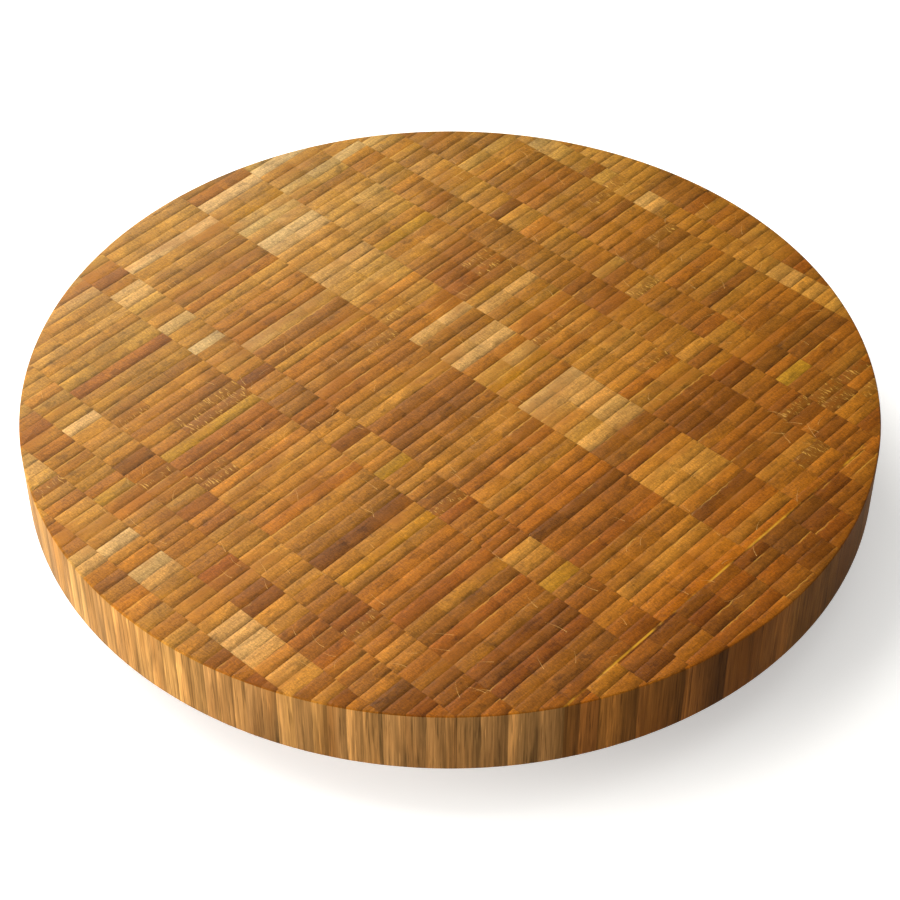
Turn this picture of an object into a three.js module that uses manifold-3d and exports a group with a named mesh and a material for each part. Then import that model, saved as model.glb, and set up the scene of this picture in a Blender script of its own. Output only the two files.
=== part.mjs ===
// A lazy susan turntable: an end-grain bamboo disc that spins on an aluminium ring bearing,
// which is screwed to a bamboo base ring on four rubber feet.
// Units are millimetres and +Z is up. The origin is on the spin axis, level with the feet's soles.

import * as THREE from "three";
import { mergeVertices } from "three/addons/utils/BufferGeometryUtils.js";
import Module from "manifold-3d";

// Turntable top
const topDiameter = 406;
const topThickness = 35;
const topChamfer = 1;

// Ring bearing: two rings with facing V-shaped races, and one row of caged balls
const ballDiameter = 4.7625;
const ballCount = 24;
const ballCircleDiameter = 195;
const raceClearance = 0.25; // between a ball and each flank of a race
const ringGap = 2; // between the rings' facing walls
const ringLip = 1; // flat wall above and below a race
const ringFlange = 13.8; // solid metal behind a race, which takes the screws
const ringOffset = 1; // how much higher the inner ring stands than the outer ring
const cageThickness = 1.2;
const cageRim = 0.8; // cage left above and below a ball's pocket
const pocketClearance = 0.35;

// Base ring
const baseThickness = 15;
const baseRim = 15; // how far the base ring reaches beyond the bearing
const baseChamfer = 1.5;
const driverClearance = 3; // beside the inner ring's screw heads, for a driver from below

// Countersunk screws that hold the two bearing rings
const ringScrewCount = 8;
const ringScrewDiameter = 4;
const ringScrewHeadDiameter = 8;
const ringScrewHeadLand = 0.4;
const ringScrewHeadSink = 0.15; // from a ring's face down to the screw head's face
const ringScrewTip = 3;
const ringScrewRecess = 4.4; // across the cross recess in the head
const topScrewLength = 20;
const baseScrewLength = 16;

// Rubber feet, each held by a pan-head screw and a washer in a recess
const footCount = 4;
const footHeight = 8;
const footSoleDiameter = 18;
const footTopDiameter = 22;
const footSoleChamfer = 0.8;
const footHeadClearance = 1; // from the floor up to the screw's head
const washerDiameter = 11;
const washerThickness = 1;
const footScrewDiameter = 3.5;
const footScrewHeadDiameter = 7;
const footScrewHeadHeight = 2;
const footScrewHeadCrown = 1; // height of the head's sloped part
const footScrewGrip = 9; // length of shank in the base ring
const footScrewTip = 2.5;
const footScrewRecess = 3.8;

// Clearances
const seatGap = 0.3; // between pieces that rest on each other
const holeClearance = 0.3; // radial, between a screw or washer and its hole
const blindHoleExtra = 1; // depth of a blind hole past the screw's tip
const cutterReach = 1; // how far a cutter stands out of the face that it opens

// Cross recess of every screw
const recessWidth = 0.9;
const recessDepth = 1.3;

// Facets round a full turn
const discFacets = 96;
const ringFacets = 72;
const smallFacets = 12;
const footFacets = 16;

// Sizes that follow from the ones above
const ballRadius = ballDiameter / 2;
const ballCircleRadius = ballCircleDiameter / 2;
const raceReach = (ballRadius + raceClearance) * Math.SQRT2; // ball circle to a race's root
const raceHalfHeight = raceReach - ringGap / 2;
const ringHeight = 2 * (raceHalfHeight + ringLip) + ringOffset;
const outerRingInside = ballCircleRadius + ringGap / 2;
const outerRingOutside = ballCircleRadius + raceReach + ringFlange;
const innerRingOutside = ballCircleRadius - ringGap / 2;
const innerRingInside = ballCircleRadius - raceReach - ringFlange;
const baseScrewCircle = ballCircleRadius + raceReach + ringFlange / 2;
const topScrewCircle = ballCircleRadius - raceReach - ringFlange / 2;
const baseInside = topScrewCircle + ringScrewHeadDiameter / 2 + driverClearance;
const baseOutside = outerRingOutside + baseRim;
const footCircle = (baseInside + baseOutside) / 2;

// Levels, from the floor up
const baseLevel = footHeight + seatGap;
const outerRingLevel = baseLevel + baseThickness + seatGap;
const ballLevel = outerRingLevel + (ringHeight + ringOffset) / 2;
const innerRingLevel = outerRingLevel + ringOffset;
const topLevel = innerRingLevel + ringHeight + seatGap;
const footScrewLevel = footHeadClearance;
const washerLevel = footScrewLevel + footScrewHeadHeight + seatGap;
const footRecessDepth = washerLevel + washerThickness + seatGap;

// Materials
const bamboo = new THREE.MeshStandardMaterial({ color: 0xb5803f, roughness: 0.5, metalness: 0 });
const aluminium = new THREE.MeshStandardMaterial({ color: 0xb8bbbf, roughness: 0.35, metalness: 1 });
const steel = new THREE.MeshStandardMaterial({ color: 0x9fa3a8, roughness: 0.25, metalness: 1 });
const nylon = new THREE.MeshStandardMaterial({ color: 0xe6e1d4, roughness: 0.45, metalness: 0 });
const rubber = new THREE.MeshStandardMaterial({ color: 0x1d1d1e, roughness: 0.85, metalness: 0 });

const wasm = await Module();
wasm.setup();

// A body of revolution about Z. Each profile point is [radius, height], listed anticlockwise.
function turned(profile, facets) {
  const points = profile.map(([radius, height]) => new THREE.Vector2(radius, height));
  return new THREE.LatheGeometry(points, facets).rotateX(Math.PI / 2);
}

// A body of revolution with a bore: the profile closes on itself.
function turnedRing(profile, facets) {
  return turned([...profile, profile[0]], facets);
}

function toSolid(geometry) {
  const bare = geometry.index ? geometry.toNonIndexed() : geometry.clone();
  bare.deleteAttribute("normal");
  bare.deleteAttribute("uv");
  const merged = mergeVertices(bare, 1e-3);
  return new wasm.Manifold(
    new wasm.Mesh({
      numProp: 3,
      vertProperties: merged.attributes.position.array,
      triVerts: new Uint32Array(merged.index.array),
    }),
  );
}

// The geometry with each of the cutters taken out of it.
function cut(geometry, cutters) {
  const solid = cutters.reduce((left, cutter) => left.subtract(toSolid(cutter)), toSolid(geometry));
  const mesh = solid.getMesh();
  const result = new THREE.BufferGeometry();
  result.setAttribute("position", new THREE.BufferAttribute(mesh.vertProperties, 3));
  result.setIndex(new THREE.BufferAttribute(mesh.triVerts, 1));
  result.computeVertexNormals();
  return result;
}

// Places evenly spaced round a circle, the first at the angle start, in turns.
function placesRound(count, radius, start = 0) {
  return Array.from({ length: count }, (_, index) => {
    const angle = (start + index / count) * 2 * Math.PI;
    return { angle, x: radius * Math.cos(angle), y: radius * Math.sin(angle) };
  });
}

function addPiece(parent, name, geometry, material, x = 0, y = 0, z = 0) {
  const piece = new THREE.Mesh(geometry, material);
  piece.name = name;
  piece.position.set(x, y, z);
  parent.add(piece);
  return piece;
}

// A blind hole for a screw's shank. It starts at height 0 and runs up.
function pilotHole(screwDiameter, depth, x, y, z) {
  const radius = screwDiameter / 2 + holeClearance;
  const height = depth + blindHoleExtra;
  return new THREE.CylinderGeometry(radius, radius, height + cutterReach, smallFacets)
    .rotateX(Math.PI / 2)
    .translate(x, y, z + (height - cutterReach) / 2);
}

// The same hole, running down from height z.
function pilotHoleDown(screwDiameter, depth, x, y, z) {
  return pilotHole(screwDiameter, depth, 0, 0, 0).rotateX(Math.PI).translate(x, y, z);
}

// A through hole with a 90 degree countersink whose mouth is at height 0. The hole runs down.
function countersunkHole(depth) {
  const shank = ringScrewDiameter / 2 + holeClearance;
  const head = ringScrewHeadDiameter / 2 + holeClearance;
  const land = ringScrewHeadSink + ringScrewHeadLand;
  const profile = [
    [0, -depth - cutterReach],
    [shank, -depth - cutterReach],
    [shank, -land - (head - shank)],
    [head, -land],
    [head, cutterReach],
    [0, cutterReach],
  ];
  return turned(profile, smallFacets);
}

// The cutters for a cross recess of the given arm length, open at height 0 and running down.
function crossRecess(armLength) {
  const height = recessDepth + cutterReach;
  const level = cutterReach - height / 2;
  return [
    new THREE.BoxGeometry(armLength, recessWidth, height).translate(0, 0, level),
    new THREE.BoxGeometry(recessWidth, armLength, height).translate(0, 0, level),
  ];
}

// A countersunk screw with its head's face at height 0 and its tip pointing down.
function countersunkScrew(length) {
  const shank = ringScrewDiameter / 2;
  const head = ringScrewHeadDiameter / 2;
  const profile = [
    [0, -length],
    [shank, -length + ringScrewTip],
    [shank, -ringScrewHeadLand - (head - shank)],
    [head, -ringScrewHeadLand],
    [head, 0],
    [0, 0],
  ];
  return cut(turned(profile, smallFacets), crossRecess(ringScrewRecess));
}

function turntableTop() {
  const radius = topDiameter / 2;
  const profile = [
    [0, 0],
    [radius - topChamfer, 0],
    [radius, topChamfer],
    [radius, topThickness - topChamfer],
    [radius - topChamfer, topThickness],
    [0, topThickness],
  ];
  const depth = topScrewLength - ringHeight;
  const holes = placesRound(ringScrewCount, topScrewCircle).map(({ x, y }) =>
    pilotHole(ringScrewDiameter, depth, x, y, 0),
  );
  return cut(turned(profile, discFacets), holes);
}

// The ring that turns. Its screws go up through it into the top.
function innerRing() {
  const race = (ringHeight - ringOffset) / 2;
  const profile = [
    [innerRingInside, 0],
    [innerRingOutside, 0],
    [innerRingOutside, race - raceHalfHeight],
    [ballCircleRadius - raceReach, race],
    [innerRingOutside, race + raceHalfHeight],
    [innerRingOutside, ringHeight],
    [innerRingInside, ringHeight],
  ];
  const holes = placesRound(ringScrewCount, topScrewCircle).map(({ x, y }) =>
    countersunkHole(ringHeight).rotateX(Math.PI).translate(x, y, 0),
  );
  return cut(turnedRing(profile, ringFacets), holes);
}

// The ring that stands still. Its screws go down through it into the base ring.
function outerRing() {
  const race = (ringHeight + ringOffset) / 2;
  const profile = [
    [outerRingInside, 0],
    [outerRingOutside, 0],
    [outerRingOutside, ringHeight],
    [outerRingInside, ringHeight],
    [outerRingInside, race + raceHalfHeight],
    [ballCircleRadius + raceReach, race],
    [outerRingInside, race - raceHalfHeight],
  ];
  const holes = baseScrewPlaces().map(({ x, y }) =>
    countersunkHole(ringHeight).translate(x, y, ringHeight),
  );
  return cut(turnedRing(profile, ringFacets), holes);
}

// The base ring's screws stand half a space away from the feet.
function baseScrewPlaces() {
  return placesRound(ringScrewCount, baseScrewCircle, 0.5 / ringScrewCount);
}

function footPlaces() {
  return placesRound(footCount, footCircle, 0.5 / footCount);
}

// A thin band between the rings with one round pocket for each ball.
function ballCage() {
  const pocketRadius = ballRadius + pocketClearance;
  const pocketLength = cageThickness + 2 * cutterReach;
  const halfHeight = pocketRadius + cageRim;
  const inside = ballCircleRadius - cageThickness / 2;
  const outside = ballCircleRadius + cageThickness / 2;
  const profile = [
    [inside, -halfHeight],
    [outside, -halfHeight],
    [outside, halfHeight],
    [inside, halfHeight],
  ];
  const pockets = placesRound(ballCount, ballCircleRadius).map(({ angle }) =>
    new THREE.CylinderGeometry(pocketRadius, pocketRadius, pocketLength, smallFacets)
      .rotateZ(-Math.PI / 2)
      .translate(ballCircleRadius, 0, 0)
      .rotateZ(angle),
  );
  return cut(turnedRing(profile, ringFacets), pockets);
}

function baseRing() {
  const profile = [
    [baseInside + baseChamfer, 0],
    [baseOutside - baseChamfer, 0],
    [baseOutside, baseChamfer],
    [baseOutside, baseThickness - baseChamfer],
    [baseOutside - baseChamfer, baseThickness],
    [baseInside + baseChamfer, baseThickness],
    [baseInside, baseThickness - baseChamfer],
    [baseInside, baseChamfer],
  ];
  const ringScrewDepth = baseScrewLength - ringHeight;
  const holes = [
    ...baseScrewPlaces().map(({ x, y }) =>
      pilotHoleDown(ringScrewDiameter, ringScrewDepth, x, y, baseThickness),
    ),
    ...footPlaces().map(({ x, y }) => pilotHole(footScrewDiameter, footScrewGrip, x, y, 0)),
  ];
  return cut(turnedRing(profile, ringFacets), holes);
}

function foot() {
  const sole = footSoleDiameter / 2;
  const recess = washerDiameter / 2 + holeClearance;
  const bore = footScrewDiameter / 2 + holeClearance;
  const profile = [
    [recess, 0],
    [sole - footSoleChamfer, 0],
    [sole, footSoleChamfer],
    [footTopDiameter / 2, footHeight],
    [bore, footHeight],
    [bore, footRecessDepth],
    [recess, footRecessDepth],
  ];
  return turnedRing(profile, footFacets);
}

function washer() {
  const bore = footScrewDiameter / 2 + holeClearance;
  const profile = [
    [bore, 0],
    [washerDiameter / 2, 0],
    [washerDiameter / 2, washerThickness],
    [bore, washerThickness],
  ];
  return turnedRing(profile, footFacets);
}

// A pan-head screw standing on its head, with its tip pointing up.
function footScrew() {
  const shank = footScrewDiameter / 2;
  const head = footScrewHeadDiameter / 2;
  const tip = baseLevel + footScrewGrip - footScrewLevel;
  const profile = [
    [0, 0],
    [head - footScrewHeadCrown, 0],
    [head, footScrewHeadCrown],
    [head, footScrewHeadHeight],
    [shank, footScrewHeadHeight],
    [shank, tip - footScrewTip],
    [0, tip],
  ];
  const recess = crossRecess(footScrewRecess).map((arm) => arm.rotateX(Math.PI));
  return cut(turned(profile, smallFacets), recess);
}

// What stands still: feet, base ring and the bearing's outer ring.
function makeBase() {
  const base = new THREE.Group();
  addPiece(base, "base_ring", baseRing(), bamboo, 0, 0, baseLevel);
  addPiece(base, "bearing_outer_ring", outerRing(), aluminium, 0, 0, outerRingLevel);
  const screwGeometry = countersunkScrew(baseScrewLength);
  const screwLevel = outerRingLevel + ringHeight - ringScrewHeadSink;
  baseScrewPlaces().forEach(({ x, y }, index) => {
    addPiece(base, `base_screw_${index + 1}`, screwGeometry, steel, x, y, screwLevel);
  });
  const footGeometry = foot();
  const washerGeometry = washer();
  const footScrewGeometry = footScrew();
  footPlaces().forEach(({ x, y }, index) => {
    addPiece(base, `foot_${index + 1}`, footGeometry, rubber, x, y, 0);
    addPiece(base, `foot_washer_${index + 1}`, washerGeometry, steel, x, y, washerLevel);
    addPiece(base, `foot_screw_${index + 1}`, footScrewGeometry, steel, x, y, footScrewLevel);
  });
  return base;
}

// What the turning top drags round at about half its speed: the balls and their cage.
function makeBallRow() {
  const ballRow = new THREE.Group();
  ballRow.position.z = ballLevel;
  addPiece(ballRow, "ball_cage", ballCage(), nylon);
  const ballGeometry = new THREE.IcosahedronGeometry(ballRadius, 1);
  placesRound(ballCount, ballCircleRadius).forEach(({ x, y }, index) => {
    const name = `bearing_ball_${String(index + 1).padStart(2, "0")}`;
    addPiece(ballRow, name, ballGeometry, steel, x, y, 0);
  });
  return ballRow;
}

// What spins: the bearing's inner ring and the top, screwed together from below.
function makeTurntable() {
  const turntable = new THREE.Group();
  addPiece(turntable, "bearing_inner_ring", innerRing(), aluminium, 0, 0, innerRingLevel);
  addPiece(turntable, "turntable_top", turntableTop(), bamboo, 0, 0, topLevel);
  const screwGeometry = countersunkScrew(topScrewLength);
  const screwLevel = innerRingLevel + ringScrewHeadSink;
  placesRound(ringScrewCount, topScrewCircle).forEach(({ x, y }, index) => {
    const name = `top_screw_${index + 1}`;
    const screw = addPiece(turntable, name, screwGeometry, steel, x, y, screwLevel);
    screw.rotation.x = Math.PI;
  });
  return turntable;
}

const lazySusan = new THREE.Group();
lazySusan.add(makeBase(), makeBallRow(), makeTurntable());

export default lazySusan;
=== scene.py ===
# A lazy susan turntable: an end-grain bamboo disc that spins on a caged ball bearing, which stands on a
# plied bamboo ring and four rubber feet. Everything is in metres, and stands where the loaded model says.

import bisect
import math
import random

import bmesh
import bpy
from mathutils import Matrix, Vector


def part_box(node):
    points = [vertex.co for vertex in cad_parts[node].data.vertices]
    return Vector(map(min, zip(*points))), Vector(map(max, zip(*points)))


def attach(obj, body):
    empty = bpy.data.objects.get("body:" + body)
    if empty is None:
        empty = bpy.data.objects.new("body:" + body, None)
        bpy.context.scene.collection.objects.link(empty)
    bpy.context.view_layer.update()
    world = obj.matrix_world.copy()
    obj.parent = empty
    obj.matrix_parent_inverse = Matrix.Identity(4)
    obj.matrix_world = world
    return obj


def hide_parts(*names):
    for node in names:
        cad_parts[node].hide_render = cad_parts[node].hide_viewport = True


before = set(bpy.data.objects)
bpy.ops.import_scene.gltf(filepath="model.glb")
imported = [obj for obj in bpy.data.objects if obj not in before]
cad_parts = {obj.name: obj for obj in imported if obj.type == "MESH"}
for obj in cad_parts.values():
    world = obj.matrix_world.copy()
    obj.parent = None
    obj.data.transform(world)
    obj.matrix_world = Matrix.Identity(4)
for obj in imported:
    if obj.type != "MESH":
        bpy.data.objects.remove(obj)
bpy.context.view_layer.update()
print("loaded", len(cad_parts), "nodes")


# What any piece needs

weld = 1e-6  # vertices closer than this become one
roundSegments = 4  # steps in a turned piece's rounded corner
holeSegments = 24
overshoot = 0.001  # how far a cutter sticks out past what it cuts
upsideDown = Matrix.Rotation(math.pi, 3, "X")


def newObject(name, data):
    made = bpy.data.objects.new(name, data)
    bpy.context.scene.collection.objects.link(made)
    return made


def finishPiece(name, bm, materials, body, nodes, sharpAngle=30):
    mesh = bpy.data.meshes.new(name)
    bm.to_mesh(mesh)
    bm.free()
    for material in materials:
        mesh.materials.append(material)
    mesh.shade_smooth()
    mesh.set_sharp_from_angle(angle=math.radians(sharpAngle))
    piece = newObject(name, mesh)
    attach(piece, body)
    if nodes:
        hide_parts(*nodes)


def turnProfile(bm, profile, segments, closed=True):
    # each point is its radius, its height and how far its corner is rounded
    points = [bm.verts.new((radius, 0, height)) for radius, height, _ in profile]
    pairs = list(zip(points, points[1:])) + ([(points[-1], points[0])] if closed else [])
    edges = [bm.edges.new(pair) for pair in pairs]
    wire = set(points)
    for point, (*_, rounding) in zip(points, profile):
        if rounding:
            wire.discard(point)
            made = bmesh.ops.bevel(
                bm, geom=[point], offset=rounding, offset_type="OFFSET", affect="VERTICES",
                segments=roundSegments, profile=0.5, material=-1)
            wire.update(made["verts"])
    wire = [vert for vert in bm.verts if vert in wire]
    edges = list(dict.fromkeys(edge for vert in wire for edge in vert.link_edges))
    bmesh.ops.spin(
        bm, geom=wire + edges, cent=(0, 0, 0), axis=(0, 0, 1), dvec=(0, 0, 0),
        angle=math.tau, steps=segments, use_merge=True)
    bmesh.ops.remove_doubles(bm, verts=bm.verts, dist=weld)
    bmesh.ops.recalc_face_normals(bm, faces=bm.faces)


def band(inside, outside, bottom, top, rounding):
    # the profile of a plain ring
    corners = (inside, bottom), (outside, bottom), (outside, top), (inside, top)
    return [(*corner, rounding) for corner in corners]


def cutAway(bm, cutter):
    # takes the solid cutter out of the solid bm, and gives the result in bm
    solids = []
    for name, shape in (("workpiece", bm), ("cutter", cutter)):
        mesh = bpy.data.meshes.new(name)
        shape.to_mesh(mesh)
        shape.clear()
        solids.append(newObject(name, mesh))
    workpiece, tool = solids
    boolean = workpiece.modifiers.new("cut", "BOOLEAN")
    boolean.operation = "DIFFERENCE"
    boolean.solver = "EXACT"
    boolean.object = tool
    graph = bpy.context.evaluated_depsgraph_get()
    bm.from_mesh(workpiece.evaluated_get(graph).to_mesh())
    for solid in solids:
        mesh = solid.data
        bpy.data.objects.remove(solid)
        bpy.data.meshes.remove(mesh)


def only(kind, made):
    return [item for item in made["geom"] if isinstance(item, kind)]


def boxCentre(node):
    low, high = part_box(node)
    return (low + high) / 2


def addHoles(cutter, nodes, profile, upward):
    # one turned cutter at each screw; its height 0 stands at the screw's outer end
    for node in nodes:
        low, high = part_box(node)
        hole = bmesh.new()
        turnProfile(hole, profile, holeSegments, closed=False)
        if not upward:
            bmesh.ops.rotate(hole, verts=hole.verts, matrix=upsideDown, cent=(0, 0, 0))
        place = boxCentre(node)
        place.z = low.z if upward else high.z
        bmesh.ops.translate(hole, verts=hole.verts, vec=place)
        bmesh.ops.recalc_face_normals(hole, faces=hole.faces)
        addShape(cutter, hole)


def addShape(bm, shape):
    mesh = bpy.data.meshes.new("shape")
    shape.to_mesh(mesh)
    shape.free()
    bm.from_mesh(mesh)
    bpy.data.meshes.remove(mesh)


def pilotHole(radius, node):
    # a little deeper than the screw is long
    low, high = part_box(node)
    depth = high.z - low.z + overshoot
    return [(0, -overshoot, 0), (radius, -overshoot, 0), (radius, depth, 0), (0, depth, 0)]


def nodesNamed(start):
    return sorted(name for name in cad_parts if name.startswith(start) and name[len(start):].isdigit())


ballNodes = nodesNamed("bearing_ball_")
baseScrewNodes = nodesNamed("base_screw_")
topScrewNodes = nodesNamed("top_screw_")
footNodes = nodesNamed("foot_")
footScrewNodes = nodesNamed("foot_screw_")
washerNodes = nodesNamed("foot_washer_")


# What any material needs

def newMaterial(name):
    material = bpy.data.materials.new(name)
    material.use_nodes = True
    tree = material.node_tree
    return material, tree, tree.nodes["Principled BSDF"].inputs


def setSocket(tree, socket, value):
    if isinstance(value, bpy.types.NodeSocket):
        tree.links.new(value, socket)
    else:
        socket.default_value = value


def addNode(tree, kind, sockets=None, **settings):
    node = tree.nodes.new("ShaderNode" + kind)
    for name, value in settings.items():
        setattr(node, name, value)
    for name, value in (sockets or {}).items():
        setSocket(tree, node.inputs[name], value)
    return node


def maths(tree, operation, first, second=0.0):
    return addNode(tree, "Math", {0: first, 1: second}, operation=operation).outputs[0]


def times(tree, first, second):
    return maths(tree, "MULTIPLY", first, second)


def lengthOf(tree, vector):
    return addNode(tree, "VectorMath", {0: vector}, operation="LENGTH").outputs["Value"]


def spread(tree, value, low, high, toLow=0.0, toHigh=1.0):
    # value from low to high becomes toLow to toHigh, with an eased start and end
    ends = {"Value": value, "From Min": low, "From Max": high, "To Min": toLow, "To Max": toHigh}
    return addNode(tree, "MapRange", ends, interpolation_type="SMOOTHSTEP").outputs["Result"]


def mixColour(tree, factor, first, second, how="MIX"):
    return addNode(
        tree, "Mix", {0: factor, 6: first, 7: second}, data_type="RGBA", blend_type=how).outputs[2]


def mixValue(tree, factor, first, second):
    return addNode(tree, "Mix", {0: factor, 2: first, 3: second}, data_type="FLOAT").outputs[0]


def noise(tree, coordinates, scale, detail=2.0, roughness=0.5):
    sockets = {"Vector": coordinates, "Scale": scale, "Detail": detail, "Roughness": roughness}
    return addNode(tree, "TexNoise", sockets).outputs["Fac"]


def stretched(tree, coordinates, x, y, z):
    return addNode(tree, "VectorMath", {0: coordinates, 1: (x, y, z)}, operation="MULTIPLY").outputs[0]


def objectPlace(tree):
    return addNode(tree, "TexCoord").outputs["Object"]


def bumpUp(tree, height, distance, strength=1.0):
    sockets = {"Height": height, "Distance": distance, "Strength": strength}
    return addNode(tree, "Bump", sockets).outputs[0]


# Studio: camera, lights and floor

studio = {
    "azimuth": -47.0,  # degrees; 0 looks along +Y
    "elevation": 44.0,
    "distance": 1.1165,
    "lens": 91.5,
    "aimHeight": 0.025,
    "floorRadius": 6.0,
    "floorColour": (0.94, 0.94, 0.93, 1),
    "floorBounce": (0.54, 0.46, 0.37, 1),
    "nearPale": 0.42,  # how much the floor's own glow lightens the shadow
    "skyColour": (1.0, 0.99, 0.97, 1),
    "farPale": 0.96,  # how pale the air and the far floor look
    "skyStrength": 0.16,
    # name, degrees round from the camera, elevation, distance, width, watts, colour, whether it gleams
    "lights": (
        ("keyBox", -154.0, 36.0, 1.3, 0.8, 9.0, (1.0, 0.98, 0.95), True),
        ("leftFill", -62.0, 12.0, 1.3, 0.8, 24.0, (1.0, 0.98, 0.94), False),
        ("overhead", -105.0, 60.0, 1.3, 1.0, 11.0, (1.0, 0.99, 0.96), False),
        ("frontFill", -30.0, 76.0, 2.0, 1.8, 13.0, (1.0, 0.99, 0.97), False),
    ),
}


def outward(azimuth, elevation):
    a, e = math.radians(azimuth), math.radians(elevation)
    return Vector((math.sin(a) * math.cos(e), -math.cos(a) * math.cos(e), math.sin(e)))


def aimedAt(thing, name, target, direction, distance):
    placed = newObject(name, thing)
    placed.location = target + direction * distance
    placed.rotation_euler = (-direction).to_track_quat("-Z", "Y").to_euler()
    return placed


def buildStudio():
    target = Vector((0, 0, studio["aimHeight"]))
    camera = bpy.data.cameras.new("camera")
    camera.lens = studio["lens"]
    camera.sensor_width = 36
    camera.clip_start, camera.clip_end = 0.01, 50
    direction = outward(studio["azimuth"], studio["elevation"])
    bpy.context.scene.camera = aimedAt(camera, "camera", target, direction, studio["distance"])
    for name, turn, elevation, distance, width, watts, colour, gleams in studio["lights"]:
        light = bpy.data.lights.new(name, "AREA")
        light.size = width
        light.energy = watts
        light.color = colour
        placed = aimedAt(light, name, target, outward(studio["azimuth"] + turn, elevation), distance)
        placed.visible_glossy = gleams
    world = bpy.data.worlds.new("studioAir")
    world.use_nodes = True
    background = world.node_tree.nodes["Background"]
    background.inputs["Color"].default_value = studio["skyColour"]
    seen = addNode(world.node_tree, "LightPath").outputs["Is Camera Ray"]
    strength = mixValue(world.node_tree, seen, studio["skyStrength"], studio["farPale"])
    setSocket(world.node_tree, background.inputs["Strength"], strength)
    bpy.context.scene.world = world
    bpy.context.scene.view_settings.view_transform = "Standard"

    material, tree, shader = newMaterial("paleFloor")
    shade = noise(tree, objectPlace(tree), 3.0)
    setSocket(tree, shader["Roughness"], spread(tree, shade, 0.3, 0.7, 0.75, 0.85))
    # the floor looks paler than the light it throws back, and its far part as pale as the air behind it
    seen = addNode(tree, "LightPath").outputs["Is Camera Ray"]
    paint = mixColour(tree, seen, studio["floorBounce"], studio["floorColour"])
    setSocket(tree, shader["Base Color"], paint)
    reach = lengthOf(tree, objectPlace(tree))
    shader["Emission Color"].default_value = studio["skyColour"]
    glow = spread(tree, reach, 0.7, 2.2, studio["nearPale"], studio["farPale"] - studio["skyStrength"])
    setSocket(tree, shader["Emission Strength"], times(tree, glow, seen))
    mesh = bpy.data.meshes.new("floor")
    bm = bmesh.new()
    bmesh.ops.create_circle(bm, cap_ends=True, segments=96, radius=studio["floorRadius"])
    bm.to_mesh(mesh)
    bm.free()
    mesh.materials.append(material)
    newObject("floor", mesh)


buildStudio()
print("studio set")


# Turntable top: planks of plied strips, cut into slices and glued end grain up

topBoard = {
    "rimSegments": 288,
    "sliceWidth": 0.0196,
    "narrowSlice": 0.0134,
    "stripHeight": 0.00705,
    "stripVariation": 0.0012,
    "edgeRadius": 0.0010,
    "chamfer": 0.0010,
    "grooveWidth": 0.00014,
    "grooveDepth": 0.00003,
    "smallestGrooved": 0.3,  # as a part of a whole strip's face
    "secondBoard": -0.1693,  # where a second board is glued on
    "secondShift": 0.0103,
    "secondPlanks": 22,
    "secondPaleness": (0.26, 0.50),
    "firstSlice": 0.0026,  # how far the first slice starts outside the rim
    "drift": 0.085,  # painted light and sheen: paler, less red strips towards -X and +Y
    "farDrift": 0.125,  # the same painted light towards +X and +Y
    # how much warmth the painted sheen takes from the strips
    "warmDrift": 7,
    "seed": 4,
    # slices cut from each plank, from -X to +X, and how pale its strips are; 0 slices is one narrow slice
    "planks": (
        (1, 0.44), (1, 0.52), (1, 0.42), (1, 0.47), (3, 0.43), (1, 0.50), (3, 0.45), (2, 0.54),
        (2, 0.42), (1, 0.40), (1, 0.45), (2, 0.40), (0, 0.56), (1, 0.36), (2, 0.38),
    ),
    # plank, from and to along Y in millimetres, tone: 0 burnt to 1 palest, above 1 olive
    "accents": (
        (1, 108, 95, 0.74), (1, 43, 36, 0.95), (1, 22, 3, 0.92), (1, -36, -57, 1.0), (1, -71, -80, 0.9),
        (3, 111, 104, 0.9), (3, 75, 68, 0.05), (3, -95, -108, 0.75), (4, 129, 121, 0.2), (4, -31, -38, 0.1),
        (5, 109, 102, 0.85), (5, 74, 66, 0.02), (5, -95, -110, 0.8), (6, 180, 170, 0.8), (6, -92, -98, 0.1),
        (7, 140, 133, 0.80), (7, 108, 90, 0.72), (7, 39, 26, 0.84), (7, 16, 3, 0.88), (7, -12, -19, 1.5),
        (7, -34, -82, 0.86), (7, -84, -90, 1.5), (7, -99, -134, 0.84), (7, -136, -142, 0.15),
        (8, 43, 36, 0.22), (8, -100, -112, 0.22), (9, 7, 0, 0.1), (10, 72, 64, 0.03), (12, -58, -107, 0.78),
    ),
    "nodePatches": (  # plank, slice in it, from and to along Y in millimetres
        (4, 0, 98, 91), (4, 1, 77, 62), (4, 2, 77, 62), (4, 0, 41, 28), (3, 0, 62, 54), (8, 1, 59, 46),
        (9, 0, -128, -136), (10, 0, -128, -144), (11, 0, -128, -136), (8, 1, -150, -157), (1, 0, 90, 83),
    ),
    "nodeTone": 0.25,
    "nodeChance": 0.012,  # of a node mark on any other strip end
    # how each strip's tone and warmth are drawn
    "toneChange": 0.66,
    "toneSpread": 0.13,
    "oddChance": 0.06,
    "oddTones": (0.12, 0.22, 0.80, 1.5),
    "warmth": (0.15, 0.7),
    "leastWarm": -0.9,
    "sliceSpread": 0.025,
    "sliceVariation": 0.006,
    "tones": (  # burnt to palest
        (0.150, 0.050, 0.0030), (0.228, 0.078, 0.0050), (0.312, 0.120, 0.0085), (0.385, 0.172, 0.021),
        (0.500, 0.285, 0.092),
    ),
    "olive": (0.340, 0.158, 0.008),
    "warmTint": (0.04, -0.05, -0.2),  # how much of itself red, green and blue gain from one step of warmth
    "pilotRadius": 0.0023,
    "sharpAngle": 17,
}


def toneColour(tone, warmth):
    tones = topBoard["tones"]
    if tone > 1:
        colour = Vector(topBoard["olive"])
    else:
        place = max(0.0, tone) * (len(tones) - 1)
        index = min(int(place), len(tones) - 2)
        colour = Vector(tones[index]).lerp(Vector(tones[index + 1]), place - index)
    return Vector([part * (1 + tint * warmth) for part, tint in zip(colour, topBoard["warmTint"])])


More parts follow.
